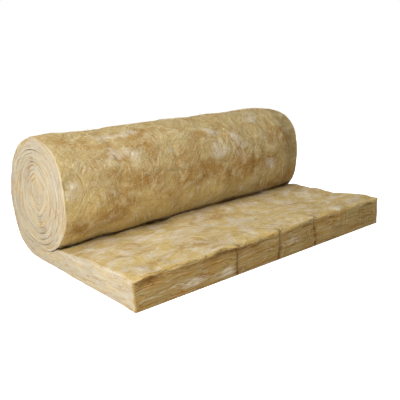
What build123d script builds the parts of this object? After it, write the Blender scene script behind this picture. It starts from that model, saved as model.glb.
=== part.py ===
from build123d import *

import os
from math import copysign, cos, floor, sin, tau

# Glass-wool insulation blanket, rolled up, with its last stretch unrolled flat on the floor.
# One piece of blanket, so one solid. X runs along the roll, Z is up, and the unrolled leaf
# points towards -Y. The origin is the centre of the footprint, on the floor. Millimetres.

# The blanket itself
blanket_width = 1140.0
leaf_thickness = 100.0
leaf_length = 378.0  # from the cut end to the front of the roll
leaf_flat_length = 285.0  # the stretch at full thickness, from the cut end
crest_radius = 300.0  # the soft bend where the leaf's top starts to fall towards the roll

# The roll, a soft oval that leans over the leaf and sags at its back
roll_depth = 472.0
roll_height = 450.0
roll_lean = 42.0  # how far the top stands forward of the middle
roll_roundness = 0.915  # 1 is a true oval, less is fuller between its sides

# Where the roll presses on the leaf
nip_thickness = 36.0  # the blanket under the roll, squeezed
nip_reach = 120.0  # how far round the skin the nip lies ahead of the roll's lowest line
nip_start_turn = 0.76  # where the outer turn starts to swell towards the leaf

# The wound turns, as the seam that shows on both ends
turn_count = 9
eye_height = 58.0  # the innermost fold, a flat lens with no open bore
eye_width = 7.0
eye_forward = 22.0  # the eye lies nearer the leaf than the roll's centre
eye_rise = 36.0
eye_pinch = 0.8  # 0 leaves the turns oval, 1 makes the innermost a pointed lens
seam_width = 2.4
seam_depth = 16.0
seam_arcs_per_turn = 8
skin_arcs = 20  # on the outside of the roll

# The perforated lines that let the blanket be torn into narrower strips
strip_shares = (1 / 3, 1 / 2, 2 / 3)  # three strips or two, across the width
slit_width = 2.6
slit_depth = 15.0
slit_count = 4  # slots in one line of perforation
slit_bridge = 5.0  # wool left between two slots

# Soft corners of the cut end
cut_edge_radius = 7.0
floor_edge_radius = 3.0

overcut = 5.0  # how far a cutting tool stands out of what it cuts

half_width = blanket_width / 2
half_height = roll_height / 2
lean_power = 2 / (2 - roll_roundness)
half_depth = ((roll_depth / 2) ** lean_power - roll_lean**lean_power) ** (1 / lean_power)
front_y = -(leaf_length + roll_depth) / 2
roll_centre_y = front_y + leaf_length + roll_depth / 2
nip_turn = 1.0 - nip_reach / (tau * half_height)  # turns from the lowest line to the nip


def ease(share):
    """A smooth step from 0 to 1."""
    t = min(max(share, 0.0), 1.0)
    return t * t * (3 - 2 * t)


def signed_power(value, power):
    """A power of a sine or cosine that keeps its sign."""
    return copysign(abs(value) ** power, value)


def skin_point(turns, outward=0.0):
    """(Y, Z) on the rolled blanket's skin, some turns in from the floor under the roll.

    The first turn is the outside of the roll, up its back, over the top and down to the nip.
    Every later turn is the seam between two layers, down to the eye.
    """
    angle = tau * (turns - floor(turns)) - tau / 4
    wound = max(turns - 1.0, 0.0) / turn_count
    inset = nip_thickness * ease((turns - nip_start_turn) / (1.0 - nip_start_turn))
    across = (half_depth - inset) * (1 - wound) + eye_width / 2 * wound
    upward = (half_height - inset) * (1 - wound) + eye_height / 2 * wound
    fullness = (1 - roll_roundness) * (1 - wound)
    y = across * signed_power(cos(angle), 1 - fullness + eye_pinch * wound) + outward * cos(angle)
    z = upward * signed_power(sin(angle), 1 - fullness) + outward * sin(angle)
    lean = roll_lean * z / half_height * (1 - wound)
    return Vector(roll_centre_y - eye_forward * wound + y - lean, half_height + eye_rise * wound + z)


def arc_chain(ends, outward=0.0):
    """The skin as a chain of short arcs, between the given numbers of turns."""
    arcs = []
    for start, stop in zip(ends, ends[1:]):
        marks = (start, (start + stop) / 2, stop)
        arcs.append(ThreePointArc(*(skin_point(mark, outward) for mark in marks)))
    return arcs


def outer_skin():
    """The outside of the roll, from the floor round to the nip, level where it leaves the floor."""
    ends = [nip_turn * step / skin_arcs for step in range(skin_arcs + 1)]
    first = TangentArc(skin_point(ends[0]), skin_point(ends[1]), tangent=(1.0, 0.0))
    return [first, *arc_chain(ends[1:])]


def seam_side(outward):
    """One side of the gap between the wound turns, from the nip to the eye."""
    count = turn_count * seam_arcs_per_turn
    ends = [nip_turn] + [1.0 + step / seam_arcs_per_turn for step in range(count + 1)]
    return arc_chain(ends, outward)


def open_seam():
    """The gap between the wound turns: in along one side, round the eye and out again."""
    inner = seam_side(0.0)
    outer = seam_side(seam_width)
    tip = Line(inner[-1] @ 1, outer[-1] @ 1)
    return [*inner, tip, *outer]


def side_face(seam):
    """The roll and its leaf seen from the end, with the given edges at the nip."""
    crest = Vector(front_y + leaf_flat_length, leaf_thickness)
    top_end = Vector(front_y + cut_edge_radius, leaf_thickness)
    cut_top = Vector(front_y, leaf_thickness - cut_edge_radius)
    cut_foot = Vector(front_y, floor_edge_radius)
    foot_end = Vector(front_y + floor_edge_radius, 0.0)
    edges = [
        *outer_skin(),
        *seam,
        FilletPolyline(skin_point(nip_turn, seam_width), crest, top_end, radius=crest_radius),
        RadiusArc(top_end, cut_top, -cut_edge_radius),
        Line(cut_top, cut_foot),
        RadiusArc(cut_foot, foot_end, -floor_edge_radius),
        Line(foot_end, skin_point(0.0)),
    ]
    return make_face(edges)


def blanket_body():
    """The blanket across its width, with the gap between its turns open at both ends."""
    closed_nip = Line(skin_point(nip_turn), skin_point(nip_turn, seam_width))
    middle_face = side_face([closed_nip])
    end_face = side_face(open_seam())
    inner_x = half_width - seam_depth
    middle = extrude(Plane.YZ.offset(-inner_x) * middle_face, amount=2 * inner_x)
    left = extrude(Plane.YZ.offset(-half_width) * end_face, amount=seam_depth)
    right = extrude(Plane.YZ.offset(inner_x) * end_face, amount=seam_depth)
    return middle + left + right


def perforation(share):
    """One line of slots down the cut end, at a share of the width."""
    slot_height = (leaf_thickness - slit_bridge * (slit_count - 1)) / slit_count
    slots = []
    for row in range(slit_count):
        low = row * (slot_height + slit_bridge)
        bottom = low - (overcut if row == 0 else 0.0)
        top = low + slot_height + (overcut if row == slit_count - 1 else 0.0)
        box = Box(slit_width, slit_depth + overcut, top - bottom)
        x = -half_width + blanket_width * share
        slots.append(Pos(x, front_y + (slit_depth - overcut) / 2, (top + bottom) / 2) * box)
    return slots


def build():
    """The finished blanket."""
    blanket = blanket_body()
    for share in strip_shares:
        for slot in perforation(share):
            blanket -= slot
    return blanket


os.makedirs("parts", exist_ok=True)
wool_blanket = build()
export_step(wool_blanket, "parts/wool_blanket.step")
bounds = wool_blanket.bounding_box()
print("size", bounds.size, "low", bounds.min, "volume", round(wool_blanket.volume))
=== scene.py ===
# %% [markdown]
# # A roll of glass-wool loft insulation
# The object is one blanket of glass wool, rolled up, with its last stretch unrolled flat on the
# floor. This lesson dresses its CAD solid. The blanket is drawn again as a finer, softer mesh,
# then it sags, tears and is perforated, it is painted, and loose fibres grow on it. Everything is
# in metres, in the CAD model's own frame: X runs along the roll, Z is up and the unrolled leaf
# points towards -Y.

import itertools
import math

import bmesh
import bpy
import numpy as np
from mathutils import Matrix, Vector


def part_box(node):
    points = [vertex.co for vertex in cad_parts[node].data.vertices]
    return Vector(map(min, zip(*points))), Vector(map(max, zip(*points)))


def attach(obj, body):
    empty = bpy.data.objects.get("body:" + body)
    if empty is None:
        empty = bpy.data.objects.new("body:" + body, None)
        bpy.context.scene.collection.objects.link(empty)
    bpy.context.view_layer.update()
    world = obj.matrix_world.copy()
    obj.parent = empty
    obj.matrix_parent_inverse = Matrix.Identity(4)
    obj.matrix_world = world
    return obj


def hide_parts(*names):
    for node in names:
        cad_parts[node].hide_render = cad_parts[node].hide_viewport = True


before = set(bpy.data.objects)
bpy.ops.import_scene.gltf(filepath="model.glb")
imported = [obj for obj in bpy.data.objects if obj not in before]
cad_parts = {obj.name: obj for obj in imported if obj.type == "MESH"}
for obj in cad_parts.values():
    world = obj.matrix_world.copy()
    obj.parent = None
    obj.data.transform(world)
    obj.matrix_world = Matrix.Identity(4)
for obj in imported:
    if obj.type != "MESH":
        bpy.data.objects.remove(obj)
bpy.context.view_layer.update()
low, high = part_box("wool_blanket")
half_width = high.x
front_y = low.y
print("blanket", [round(v, 3) for v in high - low])

# %% [markdown]
# ## The sizes that drive the shape
# A rolled blanket is a strip wound up: its cross-section is a band that lies flat as the leaf,
# goes under the roll, up its back, over the top, and on inwards turn by turn. So the whole mesh
# can be drawn by one rule. The numbers below are the CAD model's own, in metres.

# %% Name the sizes of the roll and the leaf
ROLL_DEPTH = 0.472
ROLL_HEIGHT = 0.450
ROLL_LEAN = 0.042  # how far the top stands forward of the middle
ROUNDNESS = 0.915  # 1 is a true oval, less is fuller between its sides
LEAF_THICKNESS = 0.100
LEAF_FLAT = 0.285  # the leaf at full thickness, from the cut end
CREST_BEND = 0.050  # half the length of the soft bend where the leaf's top starts to fall
NIP_THICKNESS = 0.036  # the wool squeezed under the roll
NIP_REACH = 0.120  # from the roll's lowest line forward to the nip
NIP_START_TURN = 0.76
TURNS = 9
EYE_HEIGHT = 0.058  # the innermost fold, a lens with no open bore
EYE_WIDTH = 0.007
EYE_FORWARD = 0.022
EYE_RISE = 0.036
EYE_PINCH = 0.8
GAP_WIDTH = 0.0008  # between two turns, where they show on the ends
GAP_DEPTH = 0.006
STRIP_SHARES = (1 / 3, 1 / 2, 2 / 3)  # where the perforations cross the width

half_height = ROLL_HEIGHT / 2
lean_power = 2 / (2 - ROUNDNESS)
half_depth = ((ROLL_DEPTH / 2) ** lean_power - ROLL_LEAN**lean_power) ** (1 / lean_power)
roll_y = high.y - ROLL_DEPTH / 2
nip_turn = 1.0 - NIP_REACH / (math.tau * half_height)
print("nip at turn", round(nip_turn, 3), "roll centre y", round(roll_y, 3))

# %% [markdown]
# ## Lumps that a seed fixes
# Wool has no flat face: it is lumpy at every size from a hand's width down to a tuft. Blender's
# Displace modifier could push points about with a noise, but here the same lumps also have to
# steer tears and stains. So one smooth random field is written out below. It is made from hashed
# whole numbers, and every run gives the same lumps.


# %% Make a smooth random field
def field(points, wavelength, seed):
    """A smooth random value from -1 to 1 at each point, with lumps about a wavelength across."""
    scaled = np.asarray(points, float) / np.asarray(wavelength, float)
    cell = np.floor(scaled)
    inside = scaled - cell
    inside = inside**3 * (inside * (inside * 6 - 15) + 10)
    total = np.zeros(scaled.shape[:-1])
    for corner in itertools.product((0, 1), repeat=3):
        spot = (cell + corner).astype(np.int64)
        number = spot[..., 0] * 73856093 ^ spot[..., 1] * 19349663 ^ spot[..., 2] * 83492791
        number = (number ^ (seed * 2654435761)) & 0xFFFFFFFF
        number = ((number ^ (number >> 15)) * 2246822519) & 0xFFFFFFFF
        number = ((number ^ (number >> 13)) * 3266489917) & 0xFFFFFFFF
        value = (number ^ (number >> 16)) / 0xFFFFFFFF * 2 - 1
        share = np.where(np.array(corner) == 1, inside, 1 - inside).prod(axis=-1)
        total += share * value
    return total


print("field sample", field([[0.1, 0.2, 0.3]], 0.05, 1).round(3))


# %% Add two soft steps
def ease(share):
    """A smooth step from 0 to 1."""
    t = np.clip(share, 0.0, 1.0)
    return t * t * (3 - 2 * t)


def bell(away, reach):
    """1 where away is nil, falling softly to nil some way past the reach."""
    return np.exp(-((away / reach) ** 2))


print("ease", ease([0.0, 0.25, 1.0]), "bell", np.round(bell(np.array([0.0, 1.0, 2.0]), 1.0), 3))

# %% [markdown]
# ## The wound line
# One curve holds the whole shape: the skin of the roll for its first turn, and the gap between
# two layers for every later one. The turns are ovals that grow into a pointed lens at the eye,
# because wool that was pressed while it was rolled folds flat in the middle. A spiral drawn by
# hand as a Bezier curve would need a point for every quarter turn, and each would have to be
# moved when a size changes. A formula needs none.


# %% Work out the wound line
def signed_power(value, power):
    """A power of a sine or cosine that keeps its sign."""
    return np.copysign(np.abs(value) ** power, value)


def skin_point(turns, outward=0.0):
    """(Y, Z) on the skin, some turns in from the floor under the roll, as an array of pairs."""
    turns = np.asarray(turns, float)
    angle = math.tau * (turns - np.floor(turns)) - math.tau / 4
    wound = np.maximum(turns - 1.0, 0.0) / TURNS
    inset = NIP_THICKNESS * ease((turns - NIP_START_TURN) / (1.0 - NIP_START_TURN))
    across = (half_depth - inset) * (1 - wound) + EYE_WIDTH / 2 * wound
    upward = (half_height - inset) * (1 - wound) + EYE_HEIGHT / 2 * wound
    fullness = (1 - ROUNDNESS) * (1 - wound)
    y = across * signed_power(np.cos(angle), 1 - fullness + EYE_PINCH * wound)
    z = upward * signed_power(np.sin(angle), 1 - fullness)
    y, z = y + outward * np.cos(angle), z + outward * np.sin(angle)
    lean = ROLL_LEAN * z / half_height * (1 - wound)
    return np.stack(
        [roll_y - EYE_FORWARD * wound + y - lean, half_height + EYE_RISE * wound + z], axis=-1
    )


nip_point = skin_point(nip_turn, GAP_WIDTH)
print("nip", nip_point.round(4))


# %% Work out the top of the leaf
def leaf_top(y):
    """Height of the leaf's upper side, from the nip out to the cut end."""
    nip_y, nip_z = nip_point
    crest_y = front_y + LEAF_FLAT
    slope = (LEAF_THICKNESS - nip_z) / (nip_y - crest_y)
    near_crest = np.abs(y - crest_y) < CREST_BEND
    soft = (y - crest_y + CREST_BEND) ** 2 / (4 * CREST_BEND) * slope
    return LEAF_THICKNESS - np.where(near_crest, soft, np.maximum((y - crest_y) * slope, 0.0))


print("leaf top near the nip", leaf_top(nip_point[0]).round(4))

# %% [markdown]
# ## The strip in columns and rows
# The band is cut into columns along the blanket's length and rows through its thickness. Each
# column joins a point on the outer side to one on the inner side. A column also remembers how
# far along the blanket it lies, because the layers and the fibres of the wool run that way.

# %% Place the columns of the flat part
STEP = 0.0078  # spacing of the columns along the blanket
EDGE_COLUMNS = np.array([0.0025, 0.0050])  # two more that round the upper edge of the cut end
UNDER_COUNT = 12  # columns where the leaf runs in under the roll
# Rows through the thickness, closer together near the leaf's torn upper edge.
SHARES = np.array([0, 0.04, 0.12, 0.21, 0.3, 0.39, 0.48, 0.57, 0.66, 0.75, 0.83, 0.89, 0.93, 0.97, 1])

leaf_count = round((nip_point[0] - front_y) / STEP)
leaf_y = np.linspace(front_y, nip_point[0], leaf_count + 1)
leaf_y = np.sort(np.append(leaf_y, front_y + EDGE_COLUMNS))
leaf_inner = np.stack([leaf_y, leaf_top(leaf_y)], axis=-1)
under_turns = np.linspace(nip_turn, 1.0, UNDER_COUNT + 1)[1:]
flat_inner = np.concatenate([leaf_inner, skin_point(under_turns, GAP_WIDTH)])
flat_outer = np.stack([flat_inner[:, 0], np.zeros(len(flat_inner))], axis=-1)
inner_nip = len(leaf_y) - 1
print("flat columns", len(flat_outer), "rows", len(SHARES))

# %% Place the columns of the turns, evenly along the wound line
TURN_STEP = 0.001  # a small part of a turn, to measure how fast the line runs
LEAST_STEP = 0.0001

turn_marks = [0.0]
while turn_marks[-1] < TURNS:
    ahead = skin_point(turn_marks[-1] + TURN_STEP) - skin_point(turn_marks[-1])
    speed = np.linalg.norm(ahead) / TURN_STEP
    turn_marks.append(turn_marks[-1] + max(STEP / speed, LEAST_STEP))
turn_marks = np.array(turn_marks) * TURNS / turn_marks[-1]
nip_mark = int(np.argmin(np.abs(turn_marks - nip_turn)))
turn_marks[nip_mark] = nip_turn
outer_nip = len(flat_outer) - 1 + nip_mark
print("turn columns", len(turn_marks))

# %% Join the columns and measure along the blanket
outer = np.concatenate([flat_outer, skin_point(turn_marks[1:])])
inner = np.concatenate([flat_inner, skin_point(turn_marks[1:] + 1.0, GAP_WIDTH)])
steps = np.linalg.norm(np.diff((outer + inner) / 2, axis=0), axis=1)
along = np.cumsum(np.concatenate([[0.0], steps]))
thickness = np.linalg.norm(inner - outer, axis=1)
floor_end = len(flat_outer)
print("columns", len(outer), "blanket length", round(along[-1], 2))

# %% [markdown]
# ## Where the mesh is cut across the width
# Across the roll the mesh is a row of even slices. Close to both ends there are a few thinner
# ones, so that the rim can be rounded and the gaps between the turns have walls. Each perforation
# gets six narrow slices, because a slot a few millimetres wide has to be cut between them.

# %% Choose the slices across the width
SLICE = 0.0080
SLOT_HALF = 0.0027  # half the width of a perforation's slot
rim_slices = np.array([0.0, 0.0018, 0.0036, GAP_DEPTH])
slot_slices = np.array([-2.4, -1.0, -0.5, 0.5, 1.0, 2.4]) * SLOT_HALF

slot_x = [-half_width + 2 * half_width * share for share in STRIP_SHARES]
stops = [-half_width + rim_slices, half_width - rim_slices[::-1]]
stops += [x + slot_slices for x in slot_x]
stops = np.sort(np.concatenate(stops))
slices = [stops[0]]
for stop in stops[1:]:
    parts = max(1, round((stop - slices[-1]) / SLICE))
    slices += list(np.linspace(slices[-1], stop, parts + 1)[1:])
slices = np.array(slices)
rim_count = len(rim_slices)
print("slices", len(slices))

# %% [markdown]
# ## One closed skin
# The blanket is drawn as patches that share their edges: the outer skin, the leaf's top, the cut
# end, the two ends with their turns, and the walls and floors of the gaps between the turns.
# Joined, they make one closed mesh. Geometry Nodes could sweep such a band as well, but the ends,
# the gap walls and the marks on every point have to fit each other exactly, and arrays in Python
# keep all of them in view. So Geometry Nodes are kept for the fibres, which repeat.
#
# Each point also carries a wool coordinate: across the width, along the blanket and up through
# its thickness. Colours can follow the wound layers that way.

# %% Collect patches of points and faces
points = []
wool_at = []
faces = []
face_kinds = []
KINDS = {"skin": 0, "under": 1, "leaf": 2, "cut": 3, "end": 4, "gap": 5}


def add_patch(kind, place, wool):
    """A grid of points with its faces, from two arrays of rows by columns by 3.

    Gives back the numbers of the points, as rows by columns.
    """
    rows, columns = place.shape[:2]
    first = sum(len(block) for block in points)
    points.append(place.reshape(-1, 3))
    wool_at.append(wool.reshape(-1, 3))
    index = first + np.arange(rows * columns).reshape(rows, columns)
    quads = np.stack([index[:-1, :-1], index[1:, :-1], index[1:, 1:], index[:-1, 1:]], axis=-1)
    quads = quads.reshape(-1, 4)
    faces.extend(quads.tolist())
    face_kinds.extend([KINDS[kind]] * len(quads))
    return index


def sweep(kind, line, length_at, depth_at, across):
    """A patch that carries a line of (Y, Z) points across some slices of the width."""
    place = np.empty((len(across), len(line), 3))
    place[..., 0] = np.asarray(across)[:, None]
    place[..., 1:] = np.asarray(line)[None]
    wool = np.empty_like(place)
    wool[..., 0] = place[..., 0]
    wool[..., 1] = np.asarray(length_at)[None]
    wool[..., 2] = np.broadcast_to(depth_at, len(line))[None]
    return add_patch(kind, place, wool)


print("kinds of face", len(KINDS))

# %% Draw the outside, the nip and the cut end
flat, rolled, top = slice(0, floor_end), slice(floor_end - 1, outer_nip + 1), slice(0, inner_nip + 1)
middle = slices[rim_count - 1 : -(rim_count - 1)]
nip_ends = np.stack([outer[outer_nip], inner[inner_nip]])
cut_line = outer[0] + (inner[0] - outer[0]) * SHARES[:, None]

sweep("under", outer[flat], along[flat], 0.0, slices)
sweep("skin", outer[rolled], along[rolled], 0.0, slices)
sweep("leaf", inner[top], along[top], thickness[top], slices)
sweep("gap", nip_ends, [along[outer_nip], along[inner_nip]], [0.0, thickness[inner_nip]], middle)
sweep("cut", cut_line, np.zeros(len(SHARES)), SHARES * thickness[0], slices)
print("patches so far", len(points), "faces", len(faces))

# %% [markdown]
# ## The eye
# The winding began with a fold, so a roll of wool has no bore: the middle of each end is a flat
# lens. A fan of triangles would close it, but all of them would meet in one point, and the
# shading would pucker there. A few rings that shrink to a short line close it smoothly.

# %% Work out the eye, the lens in the middle of the turns
EYE_STEPS = 48
EYE_CORE = 0.3  # the lens closes to a line this share of its height
EYE_LENGTH = 0.15  # of blanket round the eye
EYE_DEPTH = 0.02  # of wool from the eye's edge to its core
EYE_RINGS = 5

eye_marks = TURNS + np.arange(EYE_STEPS + 1) / EYE_STEPS
eye_angle = math.tau * np.arange(EYE_STEPS + 1) / EYE_STEPS - math.tau / 4
eye_wall = skin_point(eye_marks)
eye_y = eye_wall[:, 0].mean()
eye_z = skin_point(TURNS + 1.0)[1] + EYE_HEIGHT / 2
core_z = eye_z + EYE_CORE * EYE_HEIGHT * np.sin(eye_angle)
core_line = np.stack([np.full(EYE_STEPS + 1, eye_y), core_z], axis=-1)
eye_along = along[-1] + np.linspace(0.0, EYE_LENGTH, EYE_STEPS + 1)
throat = (outer[-1] + (inner[-1] - outer[-1]) * SHARES[:, None])[::-1]
eye_edge = np.concatenate([eye_wall, throat])
eye_core = np.concatenate([core_line, np.repeat(core_line[:1], len(SHARES), axis=0)])
eye_length = np.concatenate([eye_along, np.full(len(SHARES), along[-1])])
print("eye at", round(eye_y, 3), round(eye_z, 3))


# %% Draw the turns and the eye on both ends
def end_patch(end_x, lines, length_at, depth_at):
    """A patch flat on an end of the blanket, from lines of (Y, Z) points."""
    place = np.concatenate([np.full(lines.shape[:2] + (1,), end_x), lines], axis=-1)
    wool = np.empty_like(place)
    wool[..., 0] = end_x
    wool[..., 1] = length_at[None]
    wool[..., 2] = depth_at
    add_patch("end", place, wool)


band = outer[None] + (inner - outer)[None] * SHARES[:, None, None]
inward = np.linspace(0.0, 1.0, EYE_RINGS)[:, None, None]
lens = eye_edge[None] + (eye_core - eye_edge)[None] * inward
for end_x in (-half_width, half_width):
    end_patch(end_x, band, along, SHARES[:, None] * thickness[None])
    end_patch(end_x, lens, eye_length, inward[..., 0] * EYE_DEPTH)
print("faces with the ends", len(faces))

# %% [markdown]
# ## The gaps between the turns
# On the ends a dark line winds between the turns, where one layer lies on the next. A painted
# line would look flat from the side, so the gap is real, with walls a few millimetres deep. Its
# two walls have different numbers of points, because the inner turn is shorter, and the floor
# between them is stitched with triangles by how far round each point lies.


# %% Close the gaps behind the ends
def stitch(kind, first, second):
    """Triangles between two lines of point numbers that run side by side, each with its marks."""
    a, b = 0, 0
    (one, one_marks), (two, two_marks) = first, second
    while a < len(one) - 1 or b < len(two) - 1:
        step_one = b == len(two) - 1 or (a < len(one) - 1 and one_marks[a + 1] <= two_marks[b + 1])
        if step_one:
            faces.append([one[a], one[a + 1], two[b]])
            a += 1
        else:
            faces.append([one[a], two[b + 1], two[b]])
            b += 1
        face_kinds.append(KINDS[kind])


wall_outer = np.concatenate([outer[outer_nip:], eye_wall[1:]])
outer_along = np.concatenate([along[outer_nip:], eye_along[1:]])
outer_turn = np.concatenate([turn_marks[nip_mark:], eye_marks[1:]])
inner_turn = np.concatenate([[nip_turn], under_turns, turn_marks[1:] + 1.0])
for across in (slices[:rim_count], slices[-rim_count:][::-1]):
    deep_outer = sweep("gap", wall_outer, outer_along, 0.0, across)[-1]
    deep_inner = sweep("gap", inner[inner_nip:], along[inner_nip:], thickness[inner_nip:], across)[-1]
    stitch("gap", (deep_outer, outer_turn), (deep_inner, inner_turn))
    tip = np.stack([wall_outer[-1], inner[-1]])
    sweep("gap", tip, [outer_along[-1], along[-1]], 0.0, across)
print("faces in all", len(faces))

# %% Join the patches into one mesh
JOIN_WITHIN = 0.00003
SHORTEST_EDGE = 0.00001

mesh = bpy.data.meshes.new("glass_wool_blanket")
mesh.from_pydata(np.concatenate(points).tolist(), [], faces)
mesh.attributes.new("wool", "FLOAT_VECTOR", "POINT")
mesh.attributes["wool"].data.foreach_set("vector", np.concatenate(wool_at).ravel())
mesh.attributes.new("kind", "INT", "FACE")
mesh.attributes["kind"].data.foreach_set("value", face_kinds)

joined = bmesh.new()
joined.from_mesh(mesh)
bmesh.ops.remove_doubles(joined, verts=joined.verts, dist=JOIN_WITHIN)
bmesh.ops.dissolve_degenerate(joined, edges=joined.edges, dist=SHORTEST_EDGE)
bmesh.ops.recalc_face_normals(joined, faces=joined.faces)
open_edges = sum(1 for edge in joined.edges if len(edge.link_faces) != 2)
joined.to_mesh(mesh)
joined.free()
print("points", len(mesh.vertices), "faces", len(mesh.polygons), "open edges", open_edges)

# %% [markdown]
# ## Read the mesh back as arrays
# The next steps move every point by rules, and rules on whole arrays are quick to write and to
# run. Each rule reads only where a point was before any move, so points that share an edge move
# together and the mesh stays closed. A point also has to know which faces it belongs to: only the
# cut end is torn, for instance.


# %% Read the points, the edges and the kinds of face
def read(collection, name, width, number=float):
    """A property of all points, edges or faces, as an array with this many numbers in a row."""
    values = np.empty(len(collection) * width, number)
    collection.foreach_get(name, values)
    return values.reshape(-1, width)


base = read(mesh.vertices, "co", 3)
normal = read(mesh.vertex_normals, "vector", 3)
wool = read(mesh.attributes["wool"].data, "vector", 3)
kind = read(mesh.attributes["kind"].data, "value", 1, int)[:, 0]
edges = read(mesh.edges, "vertices", 2, int)
count = len(base)


def touches(name):
    """1 for each point on a face of this kind, else 0."""
    hit = np.zeros(count)
    for polygon in np.flatnonzero(kind == KINDS[name]):
        hit[list(mesh.polygons[polygon].vertices)] = 1
    return hit


skin, leaf, cut, end, gap = (touches(name) for name in ("skin", "leaf", "cut", "end", "gap"))
outside = np.clip(skin + leaf, 0, 1)
open_skin = outside * (1 - gap)
print("points on the ends", int(end.sum()), "in the gaps", int(gap.sum()))

# %% [markdown]
# ## Let the leaf and the roll sag
# In the photograph the leaf isn't even: its near end has sunk a little towards the roll, and its
# far end stands higher, with a dip behind the cut. The far end of the roll is slacker than the
# rest and droops. Soft things like these could be simulated as cloth, but a mat ten centimetres
# thick doesn't fold like a sheet, so its heights are given at a few places and blended between.
# The leaf's top can rise only as far as the roll above it leaves room.

# %% Give the leaf its heights
LEAF_MARKS = [-0.425, -0.375, -0.290, -0.200, -0.130, -0.060, -0.020, 0.060]  # places along Y
LEAF_NEAR_END = [0.099, 0.099, 0.098, 0.093, 0.089, 0.082, 0.077, 0.073]
LEAF_FAR_END = [0.106, 0.110, 0.103, 0.096, 0.101, 0.102, 0.101, 0.098]
FAR_SPEED = 1.4  # above 1, the leaf gets its far heights before its far end
FLANK_TURN = 0.70  # the front of the roll, from the nip back up to this part of its first turn

x_share = (base[:, 0] + half_width) / (2 * half_width)
near_top = np.interp(base[:, 1], LEAF_MARKS, LEAF_NEAR_END)
far_top = np.interp(base[:, 1], LEAF_MARKS, LEAF_FAR_END)
wanted_top = near_top + (far_top - near_top) * ease(FAR_SPEED * x_share)
flank_y, flank_z = skin_point(np.arange(nip_turn, FLANK_TURN, -0.005)).T
room_top = np.interp(base[:, 1], flank_y[::-1], flank_z[::-1], left=1.0, right=0.0) - GAP_WIDTH
plain_top = leaf_top(base[:, 1])
in_leaf = (wool[:, 1] <= along[inner_nip] + 0.0001) & (base[:, 1] < nip_point[0])
stretch = np.minimum(wanted_top, np.maximum(room_top, plain_top)) / plain_top
shaped = base.copy()
shaped[:, 2] *= np.where(in_leaf, stretch, 1.0)
print("leaf top from", round(stretch[in_leaf].min(), 3), "to", round(stretch[in_leaf].max(), 3))

# %% Let the roll droop at its ends
FAR_SAG = 0.092  # share by which the far end of the roll is smaller
FAR_SAG_REACH = 0.13
FAR_SAG_CENTRE = np.array([0.0, roll_y + 0.10, 0.33])  # the far end shrinks towards here
FAR_SAG_FOOT = 0.02  # no sag below this height, and all of it a quarter of a metre above
NEAR_SAG = 0.009  # share by which the near end of the roll is lower
NEAR_SAG_SHARE = 0.35  # of the width

in_roll = ~in_leaf & (wool[:, 1] > along[floor_end - 1])
sag = FAR_SAG * ease((base[:, 0] - half_width + FAR_SAG_REACH) / FAR_SAG_REACH)
sag = np.where(in_roll, sag * ease((base[:, 2] - FAR_SAG_FOOT) / 0.25), 0.0)[:, None]
shaped += sag * (FAR_SAG_CENTRE - shaped) * [0.0, 1.0, 1.0]
sag = NEAR_SAG * ease(1 - x_share / NEAR_SAG_SHARE) * base[:, 2]
shaped[:, 2] -= np.where(in_roll, sag, 0.0)
print("lowered by up to", round((base[:, 2] - shaped[:, 2]).max(), 3))

# %% [markdown]
# ## Soften the skin
# The drawn shape is too exact for wool. Broad bends and ripples move the whole band a little.
# Lumps stand out of the skin at four sizes, from a hand's width down to a tuft. Creases run
# wherever a slow random field passes through nil, which gives long thin lines that wander. One
# longer fold crosses the front of the roll, as the photograph shows. All moves fade out near the
# floor, because the underside is flat. In the lines below, the number before a field is how far
# it moves a point, in metres, and the ones after it are how wide its lumps are along each axis.

# %% Bend and ripple the band
BEND_LENGTH = 0.31
BEND_SIZE = [0.002, 0.003, 0.003]
FADE_HEIGHT = 0.05  # moves grow from nil on the floor to their full size here


def waves(wavelengths, size, seed):
    """Random moves along Y and Z, an array as long as the points."""
    moves = [field(base, wavelengths, seed + axis) for axis in (0, 1)]
    return np.stack([np.zeros(count), *moves], axis=-1) * size


lift = ease(base[:, 2] / FADE_HEIGHT)[:, None]
bend = np.stack([field(base, BEND_LENGTH, seed) for seed in (11, 12, 13)], axis=-1) * BEND_SIZE
ripple = waves(0.085, 0.0026, 14) + waves((0.3, 0.045, 0.045), 0.0018, 17)
moved = shaped + (bend + ripple) * lift
print("bent by up to", np.abs(bend + ripple).max().round(4))

# %% Raise the lumps and press in the creases
# Height, wavelength and seed of each size of lump.
LUMPS = [
    (0.0030, 0.16, 21),
    (0.0022, (0.09, 0.06, 0.06), 22),
    (0.0016, (0.05, 0.03, 0.03), 23),
    (0.0008, 0.018, 24),
]
CREASE_DEPTH = 0.0030

lumps = sum(height * field(base, wavelength, seed) for height, wavelength, seed in LUMPS)
crease = bell(field(base, (0.21, 0.13, 0.13), 25), 0.07)
crease += bell(field(base, (0.06, 0.16, 0.16), 26), 0.09) * (base[:, 0] > 0)
lumps -= CREASE_DEPTH * crease
print("creased points", int((crease > 0.5).sum()))

# %% Press in the fold that crosses the front of the roll
FOLD_HEIGHT = 0.288
FOLD_WANDER = 0.012
FOLD_WIDTH = 0.007
FOLD_DEPTH = 0.0032
FOLD_MIDDLE = -0.10
FOLD_HALF_LENGTH = 0.20
EVEN = 9.0  # a wavelength so long that a field doesn't change along this axis

fold_line = FOLD_HEIGHT + FOLD_WANDER * field(base, (0.09, EVEN, EVEN), 27)
fold_fade = ease((FOLD_HALF_LENGTH - np.abs(base[:, 0] - FOLD_MIDDLE)) / 0.08)
fold = bell(base[:, 2] - fold_line, FOLD_WIDTH) * fold_fade
fold *= skin * (base[:, 1] < roll_y) * ease(0.5 + 2.0 * field(base, (0.05, EVEN, EVEN), 28))
lumps -= FOLD_DEPTH * fold
moved += normal * (lumps * open_skin)[:, None] * lift
print("folded points", int((fold > 0.5).sum()), "deepest", round((lumps * open_skin).min(), 4))

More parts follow.
